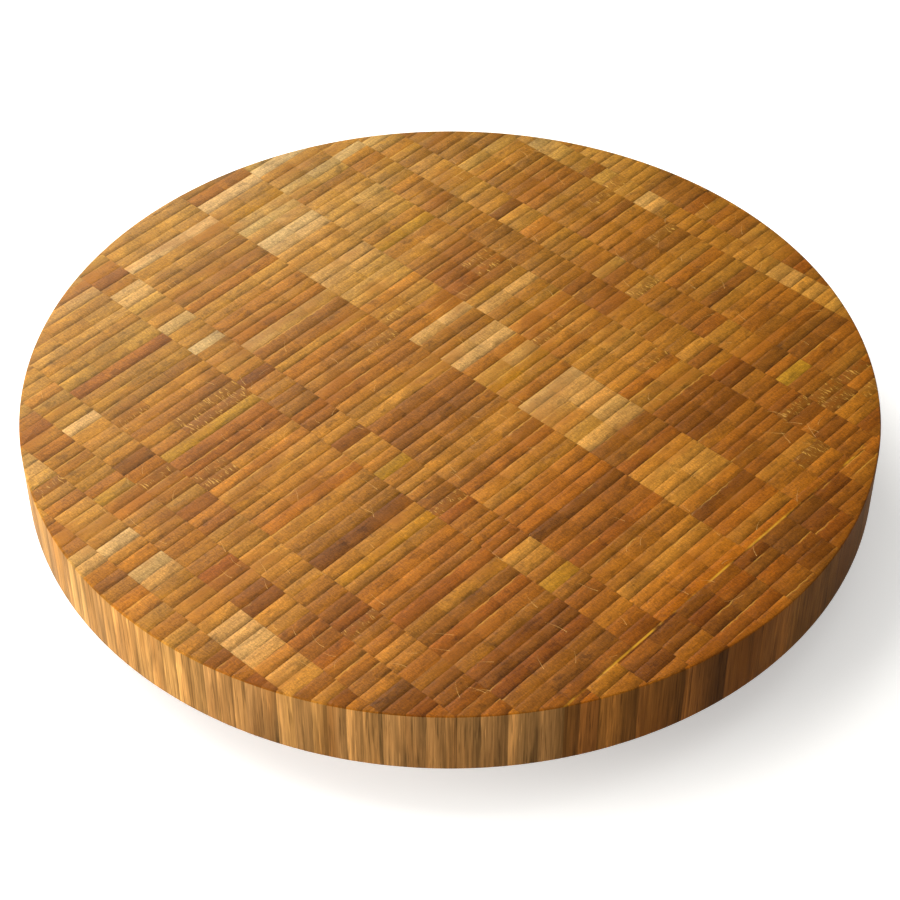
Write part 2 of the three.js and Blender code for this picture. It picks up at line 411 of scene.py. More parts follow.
def layPlanks(draw, start, radius, planks):
    # the slices' edges along X, and which plank each comes from
    edges, owners, variation = [start], [], topBoard["sliceVariation"]
    for plank, (slices, _) in enumerate(planks):
        width = topBoard["sliceWidth"] if slices else topBoard["narrowSlice"]
        for order in range(max(1, slices)):
            edges.append(edges[-1] + width * (1 + draw.uniform(-variation, variation)))
            owners.append((plank, order))
    edges[-1] = max(edges[-1], radius + 0.001)
    return edges, owners


def stackStrips(draw, radius, paleness):
    # the strips' edges along Y, and each one's tone and warmth
    edges, looks = [-radius - draw.uniform(0.1, 1.0) * topBoard["stripHeight"]], []
    tone = paleness
    while edges[-1] < radius:
        edges.append(edges[-1] + topBoard["stripHeight"] + draw.gauss(0, topBoard["stripVariation"] / 2))
        if draw.random() < topBoard["toneChange"]:
            tone = draw.gauss(paleness, topBoard["toneSpread"])
        shown = draw.choice(topBoard["oddTones"]) if draw.random() < topBoard["oddChance"] else tone
        warmth = max(topBoard["leastWarm"], draw.gauss(*topBoard["warmth"]))
        looks.append((shown, warmth, draw.random()))
    return edges, looks


def cutAcross(bm, faces, place, axis):
    # cuts these faces at a plane and gives the faces beyond it
    edges = dict.fromkeys(edge for face in faces for edge in face.edges)
    verts = dict.fromkeys(vert for face in faces for vert in face.verts)
    point, normal = Vector(), Vector()
    point[axis], normal[axis] = place, 1
    made = bmesh.ops.bisect_plane(
        bm, geom=list(faces) + list(edges) + list(verts), dist=weld / 10, plane_co=point, plane_no=normal)
    return [face for face in only(bmesh.types.BMFace, made) if face.calc_center_bounds()[axis] > place]


def facesBetween(bm, low, high, axis):
    return [face for face in bm.faces if low < face.calc_center_bounds()[axis] < high]


def layCells(bm, cellLayer, radius, draw):
    # cuts the disc into strip ends, and gives each one's place and look
    joint = topBoard["secondBoard"]
    cutAcross(bm, list(bm.faces), joint, 1)
    secondPlanks = [(1, draw.uniform(*topBoard["secondPaleness"])) for _ in range(topBoard["secondPlanks"])]
    boards = (
        (topBoard["planks"], 0, joint, radius), (secondPlanks, topBoard["secondShift"], -radius, joint))
    cells = []
    for planks, shift, bottom, top in boards:
        edges, owners = layPlanks(draw, -radius - topBoard["firstSlice"] - shift, radius, planks)
        stacks = [stackStrips(draw, radius, paleness) for _, paleness in planks]
        faces = facesBetween(bm, bottom, top, 1)
        for edge in edges[1:-1]:
            faces = cutAcross(bm, faces, edge, 0)
        for plank, (stripEdges, _) in enumerate(stacks):
            span = [edge for edge, owner in zip(edges, owners) if owner[0] == plank]
            if not span:
                continue
            last = edges[edges.index(span[-1]) + 1]
            faces = [face for face in facesBetween(bm, bottom, top, 1)
                     if span[0] < face.calc_center_bounds().x < last]
            for edge in stripEdges:
                if bottom < edge < top:
                    faces = cutAcross(bm, faces, edge, 1)
        for face in facesBetween(bm, bottom, top, 1):
            middle = face.calc_center_bounds()
            column = max(0, min(len(owners) - 1, bisect.bisect(edges, middle.x) - 1))
            plank, order = owners[column]
            stripEdges, looks = stacks[plank]
            strip = max(0, min(len(looks) - 1, bisect.bisect(stripEdges, middle.y) - 1))
            tone, warmth, seed = looks[strip]
            nodeMark = 0.0
            if planks is topBoard["planks"]:
                across = 500 * (stripEdges[strip] + stripEdges[strip + 1])  # its middle, in millimetres
                for number, start, end, accent in topBoard["accents"]:
                    if number == plank and end <= across <= start:
                        tone = accent + 0.05 * (seed - 0.5) if accent < 1 else accent
                for number, cut, start, end in topBoard["nodePatches"]:
                    if (number, cut) == (plank, order) and end <= across <= start:
                        nodeMark, tone = 1.0, topBoard["nodeTone"]
            if draw.random() < topBoard["nodeChance"]:
                nodeMark = 1.0
            if tone <= 1:
                # painted light and sheen: strips turn paler and less red towards the lit far side
                drift = (topBoard["drift"] * (middle.y - middle.x)
                         + topBoard["farDrift"] * (middle.x + middle.y)) / radius
                tone = min(1.0, tone + draw.gauss(0, topBoard["sliceSpread"]) + drift)
                warmth -= topBoard["warmDrift"] * drift
            face[cellLayer] = len(cells)
            cells.append((
                edges[column], stripEdges[strip], edges[column + 1], stripEdges[strip + 1],
                toneColour(tone, warmth), nodeMark, seed, draw.random()))
    return cells


def raiseDisc(bm, radius, bottom, crest):
    # up from the underside: chamfer, wall, rounded edge
    current = radius - topBoard["chamfer"]
    for vert in bm.verts:
        if vert.is_boundary:
            vert.co.xy *= current / vert.co.xy.length
    roundness = topBoard["edgeRadius"]
    steps = [(radius, bottom + topBoard["chamfer"])]
    steps += [(radius - roundness * (1 - math.cos(turn)), crest - roundness * (1 - math.sin(turn)))
              for turn in (0, math.pi / 6, math.pi / 3, math.pi / 2)]
    faces = underside = list(bm.faces)
    for reach, height in steps:
        made = bmesh.ops.extrude_face_region(bm, geom=faces)
        if faces is not underside:
            bmesh.ops.delete(bm, geom=faces, context="FACES")
        faces = only(bmesh.types.BMFace, made)
        for vert in only(bmesh.types.BMVert, made):
            if abs(vert.co.xy.length - current) < weld:
                vert.co.xy *= reach / vert.co.xy.length
            vert.co.z = height
        current = reach
    bmesh.ops.recalc_face_normals(bm, faces=bm.faces)


def buildTop(materials):
    low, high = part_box("turntable_top")
    radius, crest = high.x, high.z - topBoard["grooveDepth"]
    bm = bmesh.new()
    bmesh.ops.create_circle(
        bm, cap_ends=True, segments=topBoard["rimSegments"], radius=radius - topBoard["chamfer"])
    bmesh.ops.translate(bm, verts=bm.verts, vec=(0, 0, low.z))
    cells = layCells(bm, bm.faces.layers.int.new("cell"), radius, random.Random(topBoard["seed"]))
    raiseDisc(bm, radius, low.z, crest)
    cutter = bmesh.new()
    addHoles(cutter, topScrewNodes, pilotHole(topBoard["pilotRadius"], topScrewNodes[0]), upward=True)
    cutAway(bm, cutter)

    # a shallow glue line round each strip end
    smallest = topBoard["smallestGrooved"] * topBoard["sliceWidth"] * topBoard["stripHeight"]
    grooved = [face for face in bm.faces if face.normal.z > 0.999
               and face.calc_center_bounds().z > crest - weld and face.calc_area() > smallest]
    bmesh.ops.inset_individual(
        bm, faces=grooved, thickness=topBoard["grooveWidth"], depth=topBoard["grooveDepth"],
        use_even_offset=True)

    # each strip's own colour and place, for the material
    cellLayer = bm.faces.layers.int["cell"]
    place = bm.loops.layers.uv.new("stripPlace")
    colourLayer = bm.loops.layers.float_color.new("stripColour")
    kindLayer = bm.loops.layers.float_color.new("stripKind")
    for face in bm.faces:
        left, near, right, far, colour, nodeMark, seed, luck = cells[face[cellLayer]]
        face.material_index = 1 if abs(face.normal.z) < 0.3 else 0
        for loop in face.loops:
            x, y = loop.vert.co.xy
            loop[place].uv = ((x - left) / (right - left), (y - near) / (far - near))
            loop[colourLayer] = (*colour, 1)
            loop[kindLayer] = (nodeMark, seed, luck, 1)
    print("top:", len(cells), "strip ends,", len(bm.faces), "faces")
    finishPiece(
        "turntableTop", bm, materials, "turntable", ["turntable_top"],
        topBoard["sharpAngle"])


stripGrain = {
    # each pattern: its scaling along X, Y and Z, how many to a metre, how detailed and how rough it is
    "patterns": {
        "wander": ((1, 1, 0.1), 260.0, 3.0),
        "seam": ((0.4, 1, 0.1), 170.0, 2.0),
        "grain": ((1, 1, 0.02), 1250.0, 4.0, 0.75),
        "ticks": ((1, 0.3, 0.02), 1400.0, 2.0, 0.6),
        "streak": ((0.16, 1, 0.02), 900.0, 3.0, 0.6),
        "patch": ((0.5, 1, 0.1), 95.0, 3.0),
        "blotch": ((0.6, 1, 0.1), 150.0, 4.0, 0.6),
        "pores": ((1, 1, 0.035), 1300.0, 2.0),
        "wide": ((1, 1, 0.12), 120.0, 3.0),
        "torn": ((1, 1, 0.05), 800.0, 3.0, 0.6),
        "oil": ((0.4, 1, 0.1), 70.0, 3.0),
        "edge": ((0.5, 1, 0.1), 75.0, 2.0),
        "bead": ((1, 1, 0.1), 42.0, 4.0, 0.7),
    },
    "fibreBundles": 1350.0,  # to a metre
    "wander": (0.012, 0.06),  # how far a glue line strays, as a part of the strip's width and height
    # from and to in each pattern, and how dark or pale it makes the strip there
    "shading": {
        # painted light on each strip's crown: shade at the near edge, beside crowded bundles, and a highlight
        # at the far edge
        "nearEdge": (-0.02, 0.50, 0.56, 1.02),
        "farEdge": (0.58, 0.94, 1.0, 1.16),
        # the near seam's darkening is partly a dark glue line, partly painted shadow
        "nearSeam": (0.0, 0.09, 0.55, 1.0),
        "farSeam": (0.965, 1.0, 1.0, 0.80),
        "end": (0.480, 0.5, 1.0, 0.84),
        "bundle": (0.0, 1.0, 0.82, 1.05),
        "grain": (0.28, 0.72, 0.80, 1.18),
        "ticks": (0.30, 0.74, 0.86, 1.24),
        "streak": (0.25, 0.75, 0.80, 1.18),
        "patch": (0.3, 0.7, 0.84, 1.14),
        "blotch": (0.56, 0.70, 1.0, 0.66),
        "seed": (0.0, 1.0, 0.95, 1.05),
        "pores": (0.58, 0.70, 1.0, 0.55),
        "wide": (0.3, 0.7, 0.78, 1.22),
        "torn": (0.60, 0.70, 1.0, 1.40),
    },
    "crown": 0.105,  # in millimetres, as in the next table
    "relief": {
        "grain": (0.2, 0.8, 0.0, 0.09), "bundle": (0.0, 1.0, 0.0, 0.03), "streak": (0.2, 0.8, 0.0, 0.05)},
    "longGrain": (0.420, 0.236, 0.084, 1),  # what the strips look like along their length
    "longShare": (0.26, 0.64),  # how much of that shows on the second board and on the main one
    "weathered": (0.250, 0.112, 0.016, 1),
    "oiled": (0.255, 0.078, 0.004, 1),
    # golden far edges: partly glue, partly painted highlight
    "glueEdge": (0.560, 0.300, 0.035, 1),
    "glueBead": (0.600, 0.300, 0.020, 1),
    "beadWidth": (0.0002, 0.0008),
    "nodeGround": (0.205, 0.078, 0.007, 1),
    "nodeStrokes": (0.540, 0.285, 0.050, 1),
    "strokeScale": 1900.0,
    "roughness": (0.30, 0.42),
    "ior": 1.47,
}


def makeStripGrain(name, longGrain, specular, bump):
    look, shading, joint = stripGrain, stripGrain["shading"], topBoard["secondBoard"]
    material, tree, shader = newMaterial(name)
    here = objectPlace(tree)
    level = addNode(tree, "SeparateXYZ", {0: here}).outputs[1]
    colour = addNode(tree, "Attribute", attribute_name="stripColour").outputs["Color"]
    kind = addNode(tree, "Attribute", attribute_name="stripKind")
    nodeMark, seed, luck = addNode(tree, "SeparateColor", {0: kind.outputs["Color"]}).outputs[:3]
    uv = addNode(tree, "SeparateXYZ", {0: addNode(tree, "UVMap", uv_map="stripPlace").outputs[0]}).outputs

    def pattern(part):
        shape, *detail = look["patterns"][part]
        return noise(tree, stretched(tree, here, *shape), *detail)

    # the glue lines wander a little, and show more in some places than in others
    wander = pattern("wander")
    u, v = (maths(tree, "ADD", side, spread(tree, wander, 0.25, 0.75, -reach, reach))
            for side, reach in zip(uv[:2], look["wander"]))
    shown = spread(tree, pattern("seam"), 0.3, 0.68)

    # fibres stand on end, so every pattern is drawn out along Z
    bundles = addNode(tree, "TexVoronoi", {
        "Vector": stretched(tree, here, 1, 1, 0.02), "Scale": look["fibreBundles"], "Randomness": 1.0})
    parts = {part: pattern(part) for part in ("grain", "ticks", "streak", "patch", "blotch")}
    parts["bundle"] = spread(tree, bundles.outputs["Distance"], 0.14, 0.45)  # 0 on a bundle
    parts["end"] = maths(tree, "ABSOLUTE", maths(tree, "SUBTRACT", u, 0.5))
    parts["seed"] = seed
    if longGrain:
        parts.update({part: pattern(part) for part in ("pores", "wide", "torn")})

    # near edge darker with crowded bundles and painted shade, far edge paler with a painted highlight
    crowdingAndCrownLight = times(tree, spread(tree, v, *shading["nearEdge"]), spread(tree, v, *shading["farEdge"]))
    patchy = spread(tree, parts["patch"], 0.28, 0.5, 0.5, 1.0)
    tone = mixValue(tree, times(tree, spread(tree, luck, 0.12, 0.6, 0.15, 1.0), patchy), 1.0, crowdingAndCrownLight)
    # glue lines darken the strip's edges; the wider darkening at the near edge is partly painted shadow
    seamsAndShadow = times(tree, spread(tree, v, *shading["nearSeam"]), spread(tree, v, *shading["farSeam"]))
    tone = times(tree, tone, mixValue(tree, times(tree, shown, 0.5 if longGrain else 1.0), 1.0, seamsAndShadow))
    for part, value in parts.items():
        tone = times(tree, tone, spread(tree, value, *shading[part]))
    if longGrain:
        mainBoard = spread(tree, level, joint - look["beadWidth"][0], joint + look["beadWidth"][0])
        colour = mixColour(tree, mixValue(tree, mainBoard, *look["longShare"]), colour, look["longGrain"])
    grey = addNode(tree, "CombineColor", {0: tone, 1: tone, 2: tone}).outputs[0]
    colour = mixColour(tree, 1.0, colour, grey, "MULTIPLY")

    # oil has gone in unevenly; some far edges turn golden, partly glue, partly painted highlight
    oil = spread(tree, pattern("oil"), 0.48, 0.72, 0.0, 0.45)
    colour = mixColour(tree, times(tree, oil, tone), colour, look["oiled"])
    colour = mixColour(tree, spread(tree, parts["patch"], 0.55, 0.8, 0.0, 0.25), colour, look["weathered"])
    edge = times(tree, spread(tree, v, 0.88, 0.95), spread(tree, v, 1.0, 0.97))
    glueAndHighlightShown = spread(tree, pattern("edge"), 0.55, 0.66, 0.0, 0.5)
    colour = mixColour(tree, times(tree, edge, glueAndHighlightShown), colour, look["glueEdge"])
    if not longGrain:
        # glue has squeezed out along the joint with the second board
        away = maths(tree, "ABSOLUTE", maths(tree, "SUBTRACT", level, joint))
        squeezed = spread(tree, pattern("bead"), 0.40, 0.62, 0.0, 0.8)
        bead = times(tree, spread(tree, away, *look["beadWidth"], 1.0, 0.0), squeezed)
        colour = mixColour(tree, bead, colour, look["glueBead"])

    # a strip cut at a node: short golden strokes on a dark ground
    lean = addNode(tree, "CombineXYZ", {0: times(tree, wander, 0.003)}).outputs[0]
    bent = addNode(tree, "VectorMath", {0: stretched(tree, here, 1, 0.10, 0.10), 1: lean}, operation="ADD")
    stroke = spread(tree, noise(tree, bent.outputs[0], look["strokeScale"], 1.0, 0.4), 0.58, 0.68)
    ragged = times(tree, nodeMark, spread(tree, noise(tree, here, 300.0), 0.36, 0.56))
    colour = mixColour(tree, times(tree, ragged, 0.6), colour, look["nodeGround"])
    colour = mixColour(tree, times(tree, ragged, stroke), colour, look["nodeStrokes"])
    setSocket(tree, shader["Base Color"], colour)
    gloss = spread(tree, times(tree, parts["grain"], seed), 0.0, 0.6, *look["roughness"])
    setSocket(tree, shader["Roughness"], gloss)
    shader["IOR"].default_value = look["ior"]
    shader["Specular IOR Level"].default_value = specular

    crown = times(tree, spread(tree, v, -0.02, 0.30), spread(tree, v, 1.02, 0.80))
    height = times(tree, crown, look["crown"])
    for part, values in look["relief"].items():
        height = maths(tree, "ADD", height, spread(tree, parts[part], *values))
    setSocket(tree, shader["Normal"], bumpUp(tree, height, 0.001, bump))
    return material


endGrain = makeStripGrain("endGrainBamboo", longGrain=False, specular=0.16, bump=0.8)
longGrain = makeStripGrain("longGrainBamboo", longGrain=True, specular=0.06, bump=0.3)
buildTop([endGrain, longGrain])
print("top built")


# Bearing: two aluminium rings with facing races, a row of balls, and the cage that spaces them

bearing = {
    "ringGap": 0.002,
    "raceClearance": 0.00025,
    "flange": 0.0138,
    "edgeRound": 0.0004,
    "segments": 180,
    "cageThickness": 0.0012,
    "cageRim": 0.0008,
    "cageRound": 0.0002,
    "pocketClearance": 0.00035,
    "pocketSegments": 28,
    "lipRound": 0.0002,
    "rootRound": 0.0003,
    "ballSubdivisions": 4,
    "metal": ((0.60, 0.61, 0.63, 1), (0.76, 0.77, 0.78, 1)),
    "scuffed": (0.42, 0.42, 0.43, 1),
    "latheRings": 3500.0,  # per metre of radius
    "ballMetal": ((0.60, 0.61, 0.63, 1), (0.72, 0.73, 0.74, 1)),
    "nylon": ((0.70, 0.66, 0.56, 1), (0.80, 0.77, 0.69, 1)),
}
ballLow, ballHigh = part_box(ballNodes[0])
ballRadius = (ballHigh.z - ballLow.z) / 2
ballCircle = boxCentre(ballNodes[0]).xy.length
raceReach = (ballRadius + bearing["raceClearance"]) * math.sqrt(2)

ringScrew = {
    "radius": 0.002,
    "coreRadius": 0.0014,
    "pitch": 0.0014,
    "headRadius": 0.004,
    "headLand": 0.0004,
    "headRound": 0.00015,
    "room": 0.0003,  # between the screw and its hole
    "coreEnd": 0.0050,  # how far the head's core goes down; the thread begins above its end
    "threadTop": 0.0036,
    "tip": 0.003,
    "recess": 0.0044,
    "recessArm": 0.0009,
    "recessDepth": 0.0013,
    "recessTaper": 0.62,
    "threadSteps": 24,
    "segments": 32,
}


def countersink(length):
    # from the head's face upwards: mouth, cone, shank
    shank = ringScrew["radius"] + ringScrew["room"]
    mouth = ringScrew["headRadius"] + ringScrew["room"]
    return [(0, -2 * overshoot, 0), (mouth, -2 * overshoot, 0), (mouth, ringScrew["headLand"], 0),
            (shank, ringScrew["headLand"] + mouth - shank, 0), (shank, length, 0), (0, length, 0)]


def buildRing(name, node, body, outer, screwNodes, material):
    low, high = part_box(node)
    middle = boxCentre(ballNodes[0]).z
    half = raceReach - bearing["ringGap"] / 2
    way = 1 if outer else -1  # which way the ring's metal lies from the balls
    wall = ballCircle + way * bearing["ringGap"] / 2
    back = ballCircle + way * (raceReach + bearing["flange"])
    profile = band(wall, back, low.z, high.z, bearing["edgeRound"]) + [
        (wall, middle + half, bearing["lipRound"]),
        (ballCircle + way * raceReach, middle, bearing["rootRound"]),
        (wall, middle - half, bearing["lipRound"])]
    bm = bmesh.new()
    turnProfile(bm, profile, bearing["segments"])
    cutter = bmesh.new()
    addHoles(cutter, screwNodes, countersink(high.z - low.z + 2 * overshoot), upward=not outer)
    cutAway(bm, cutter)
    finishPiece(name, bm, [material], body, [node])


def makeTurnedAluminium():
    material, tree, shader = newMaterial("turnedAluminium")
    here = objectPlace(tree)
    parts = addNode(tree, "SeparateXYZ", {0: here}).outputs
    radius = lengthOf(tree, stretched(tree, here, 1, 1, 0))
    # fine rings left by the lathe: a pattern of radius and height alone
    lathe = addNode(tree, "CombineXYZ", {0: radius, 1: parts[2], 2: 0.0}).outputs[0]
    rings = noise(tree, lathe, bearing["latheRings"], 2.0)
    cloud = noise(tree, here, 60.0, 3.0)
    scuffs = spread(tree, noise(tree, stretched(tree, here, 1, 0.2, 1), 500.0, 3.0), 0.60, 0.72)
    tone = mixColour(tree, rings, *bearing["metal"])
    tone = mixColour(tree, times(tree, scuffs, 0.3), tone, bearing["scuffed"])
    setSocket(tree, shader["Base Color"], tone)
    rough = maths(tree, "ADD", spread(tree, cloud, 0.3, 0.7, 0.26, 0.36), times(tree, scuffs, 0.12))
    setSocket(tree, shader["Roughness"], rough)
    shader["Metallic"].default_value = 1.0
    setSocket(tree, shader["Normal"], bumpUp(tree, rings, 0.00002, 0.6))
    return material


def makeBallSteel():
    material, tree, shader = newMaterial("polishedBallSteel")
    here = objectPlace(tree)
    haze = noise(tree, here, 700.0, 3.0)
    setSocket(tree, shader["Base Color"], mixColour(tree, haze, *bearing["ballMetal"]))
    setSocket(tree, shader["Roughness"], spread(tree, haze, 0.3, 0.7, 0.06, 0.14))
    shader["Metallic"].default_value = 1.0
    return material


def makeCageNylon():
    material, tree, shader = newMaterial("mouldedNylon")
    here = objectPlace(tree)
    cloud = noise(tree, here, 90.0, 2.0)
    pimples = noise(tree, here, 2400.0, 2.0)
    setSocket(tree, shader["Base Color"], mixColour(tree, cloud, *bearing["nylon"]))
    setSocket(tree, shader["Roughness"], spread(tree, cloud, 0.3, 0.7, 0.38, 0.5))
    shader["Subsurface Weight"].default_value = 0.15
    shader["Subsurface Radius"].default_value = (0.001, 0.0009, 0.0007)
    shader["Subsurface Scale"].default_value = 1.0
    setSocket(tree, shader["Normal"], bumpUp(tree, pimples, 0.00003, 0.5))
    return material


def buildCage(material):
    middle = boxCentre(ballNodes[0]).z
    pocket = ballRadius + bearing["pocketClearance"]
    half = pocket + bearing["cageRim"]
    inside = ballCircle - bearing["cageThickness"] / 2
    outside = ballCircle + bearing["cageThickness"] / 2
    profile = band(inside, outside, middle - half, middle + half, bearing["cageRound"])
    bm = bmesh.new()
    turnProfile(bm, profile, bearing["segments"])
    cutter = bmesh.new()
    for node in ballNodes:
        centre = boxCentre(node)
        hole = bmesh.new()
        bmesh.ops.create_cone(
            hole, cap_ends=True, segments=bearing["pocketSegments"], radius1=pocket, radius2=pocket,
            depth=4 * bearing["cageThickness"])
        turn = centre.xy.to_3d().to_track_quat("Z", "Y").to_matrix().to_4x4()
        bmesh.ops.transform(hole, matrix=Matrix.Translation(centre) @ turn, verts=hole.verts)
        addShape(cutter, hole)
    cutAway(bm, cutter)
    finishPiece("ballCage", bm, [material], "ball_row", ["ball_cage"])


aluminium = makeTurnedAluminium()
buildRing("bearingOuterRing", "bearing_outer_ring", "base", True, baseScrewNodes, aluminium)
buildRing("bearingInnerRing", "bearing_inner_ring", "turntable", False, topScrewNodes, aluminium)
buildCage(makeCageNylon())
ballSteel = makeBallSteel()
for node in ballNodes:
    number = node[-2:]
    bm = bmesh.new()
    bmesh.ops.create_icosphere(bm, subdivisions=bearing["ballSubdivisions"], radius=ballRadius)
    bmesh.ops.translate(bm, verts=bm.verts, vec=boxCentre(node))
    finishPiece("ball" + number, bm, [ballSteel], "ball_" + number, [node], sharpAngle=60)
print("bearing built:", len(ballNodes), "balls")


# Screws: countersunk ones hold the rings, pan-head ones hold the feet

footScrew = {
    "radius": 0.00175,
    "coreRadius": 0.0012,
    "pitch": 0.0013,
    "headRadius": 0.0035,
    "headHeight": 0.002,
    "crown": 0.001,
    "crownRound": 0.0005,
    "footRound": 0.0001,
    "room": 0.0003,
    "coreEnd": 0.0040,
    "threadTop": 0.0022,
    "tip": 0.0025,
    "recess": 0.0038,
    "recessArm": 0.0009,
    "recessDepth": 0.0013,
    "recessTaper": 0.62,
    "threadSteps": 24,
    "segments": 32,
}
screwFinish = {
    "plated": ((0.50, 0.51, 0.52, 1), (0.66, 0.67, 0.68, 1)),
    "spangled": (0.38, 0.38, 0.39, 1),
    "bluntLength": 0.0003,  # how a thread's tip ends
    "bluntShare": 0.06,
    "turnApart": 700.0,  # radians for each metre across, so that no two screws stop at the same angle
}


def cutRecess(bm, look):
    # a cross that narrows downwards, open at height 0
    cross = bmesh.new()
    bmesh.ops.create_grid(cross, x_segments=3, y_segments=3, size=1)
    corners = [face for face in cross.faces if min(map(abs, face.calc_center_median().xy)) > 0.5]
    bmesh.ops.delete(cross, geom=corners, context="FACES")
    for vert in cross.verts:
        for axis in (0, 1):
            reach = look["recess"] if abs(vert.co[axis]) > 0.5 else look["recessArm"]
            vert.co[axis] = math.copysign(reach / 2, vert.co[axis])
        vert.co.z = -look["recessDepth"]
    made = bmesh.ops.extrude_face_region(cross, geom=cross.faces[:], use_keep_orig=True)
    raised = only(bmesh.types.BMVert, made)
    for vert in cross.verts:
        if vert not in raised:
            vert.co.xy *= look["recessTaper"]
    bmesh.ops.translate(cross, verts=raised, vec=(0, 0, 2 * look["recessDepth"]))
    bmesh.ops.recalc_face_normals(cross, faces=cross.faces)
    cutAway(bm, cross)


def addThread(bm, look, bottom):
    # one zigzag line goes once round while it climbs one pitch
    thread = bmesh.new()
    turns = int((-look["threadTop"] - bottom) / look["pitch"])
    line = []
    for index in range(2 * turns + 1):
        radius = look["radius"] if index % 2 else look["coreRadius"]
        line.append(thread.verts.new((radius, 0, bottom + index * look["pitch"] / 2)))
    edges = [thread.edges.new(pair) for pair in zip(line, line[1:])]
    climb = look["pitch"] / look["threadSteps"]
    bmesh.ops.spin(
        thread, geom=line + edges, cent=(0, 0, 0), axis=(0, 0, 1), dvec=(0, 0, climb),
        angle=math.tau, steps=look["threadSteps"], use_merge=False)
    bmesh.ops.remove_doubles(thread, verts=thread.verts, dist=weld)
    bmesh.ops.holes_fill(thread, edges=[edge for edge in thread.edges if edge.is_boundary], sides=0)
    for vert in thread.verts:
        share = (vert.co.z - bottom + screwFinish["bluntLength"]) / look["tip"]
        vert.co.xy *= max(screwFinish["bluntShare"], min(1.0, share))
    bmesh.ops.recalc_face_normals(thread, faces=thread.faces)
    addShape(bm, thread)


def buildScrews(label, look, headProfile, nodes, body, headDown, material):
    low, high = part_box(nodes[0])
    bm = bmesh.new()
    turnProfile(bm, headProfile, look["segments"], closed=False)
    cutRecess(bm, look)
    addThread(bm, look, low.z - high.z)
    if headDown:
        bmesh.ops.rotate(bm, verts=bm.verts, matrix=upsideDown, cent=(0, 0, 0))
    for node in nodes:
        low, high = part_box(node)
        screw = bm.copy()
        place = boxCentre(node)
        place.z = low.z if headDown else high.z
        turn = Matrix.Rotation(screwFinish["turnApart"] * place.x, 4, "Z")
        bmesh.ops.transform(screw, matrix=Matrix.Translation(place) @ turn, verts=screw.verts)
        finishPiece(label + node.rsplit("_", 1)[1], screw, [material], body, [node])
    bm.free()


def makeScrewSteel():
    material, tree, shader = newMaterial("zincPlatedSteel")
    here = objectPlace(tree)
    cloud = noise(tree, here, 450.0, 3.0)
    spangle = noise(tree, here, 3000.0, 2.0)
    tone = mixColour(tree, cloud, *screwFinish["plated"])
    tone = mixColour(tree, spread(tree, spangle, 0.5, 0.7, 0.0, 0.4), tone, screwFinish["spangled"])
    setSocket(tree, shader["Base Color"], tone)
    setSocket(tree, shader["Roughness"], spread(tree, cloud, 0.3, 0.7, 0.24, 0.38))
    shader["Metallic"].default_value = 1.0
    setSocket(tree, shader["Normal"], bumpUp(tree, spangle, 0.00001, 0.5))
    return material


def countersunkHead(look):
    reach, core, land = look["headRadius"], look["coreRadius"], look["headLand"]
    return [(0, 0, 0), (reach, 0, look["headRound"]), (reach, -land, 0), (core, core - reach - land, 0),
            (core, -look["coreEnd"], 0), (0, -look["coreEnd"], 0)]


def panHead(look):
    reach, core, crown, height = look["headRadius"], look["coreRadius"], look["crown"], look["headHeight"]
    return [(0, 0, 0), (reach - crown, 0, look["crownRound"]), (reach, -crown, look["crownRound"]),
            (reach, -height, look["footRound"]), (core, -height, 0),
            (core, -look["coreEnd"], 0), (0, -look["coreEnd"], 0)]


screwSteel = makeScrewSteel()
sunkHead = countersunkHead(ringScrew)
buildScrews("baseScrew", ringScrew, sunkHead, baseScrewNodes, "base", False, screwSteel)
buildScrews("topScrew", ringScrew, sunkHead, topScrewNodes, "turntable", True, screwSteel)
buildScrews("footScrew", footScrew, panHead(footScrew), footScrewNodes, "base", True, screwSteel)
print("screws built")


# Base ring: three plies of bamboo strips, the middle one laid across

baseRing = {
    "bore": 0.093879,
    "edgeRound": 0.0018,
    "segments": 216,
    "stripWidth": 0.0195,
    "nodeSpacing": 0.21,
    "pale": (0.430, 0.245, 0.085, 1),
    "dark": (0.300, 0.140, 0.036, 1),
    "node": (0.170, 0.070, 0.016, 1),
    "glue": (0.130, 0.060, 0.018, 1),
}


def plyStrips(tree, look, along, across, here):
    # strips that run along one axis: their own tones, fibre streaks, glue lines and nodes
    order = maths(tree, "DIVIDE", across, look["stripWidth"])
    index = maths(tree, "FLOOR", order)
    luck = addNode(tree, "TexWhiteNoise", {"W": index}, noise_dimensions="1D").outputs["Value"]
    tone = mixColour(tree, luck, look["dark"], look["pale"])
    fine = addNode(tree, "CombineXYZ", {0: times(tree, along, 0.04), 1: across, 2: luck}).outputs[0]
    fibres = noise(tree, fine, 1900.0, 3.0, 0.65)
    tone = mixColour(tree, spread(tree, fibres, 0.52, 0.72, 0.0, 0.55), tone, look["dark"])
    tone = mixColour(tree, spread(tree, fibres, 0.44, 0.28, 0.0, 0.40), tone, look["pale"])
    # a node's thin dark band, at its own place in each strip
    step = times(tree, along, 1 / look["nodeSpacing"])
    step = maths(tree, "ADD", step, times(tree, luck, 7.3))
    wavy = maths(tree, "ADD", step, spread(tree, noise(tree, here, 160.0), 0.2, 0.8, -0.006, 0.006))
    offBand = maths(tree, "ABSOLUTE", maths(tree, "SUBTRACT", maths(tree, "FRACT", wavy), 0.5))
    tone = mixColour(tree, spread(tree, offBand, 0.012, 0.003, 0.0, 0.75), tone, look["node"])
    seam = maths(tree, "ABSOLUTE", maths(tree, "SUBTRACT", maths(tree, "FRACT", order), 0.5))
    return mixColour(tree, spread(tree, seam, 0.488, 0.498, 0.0, 0.7), tone, look["glue"]), fibres


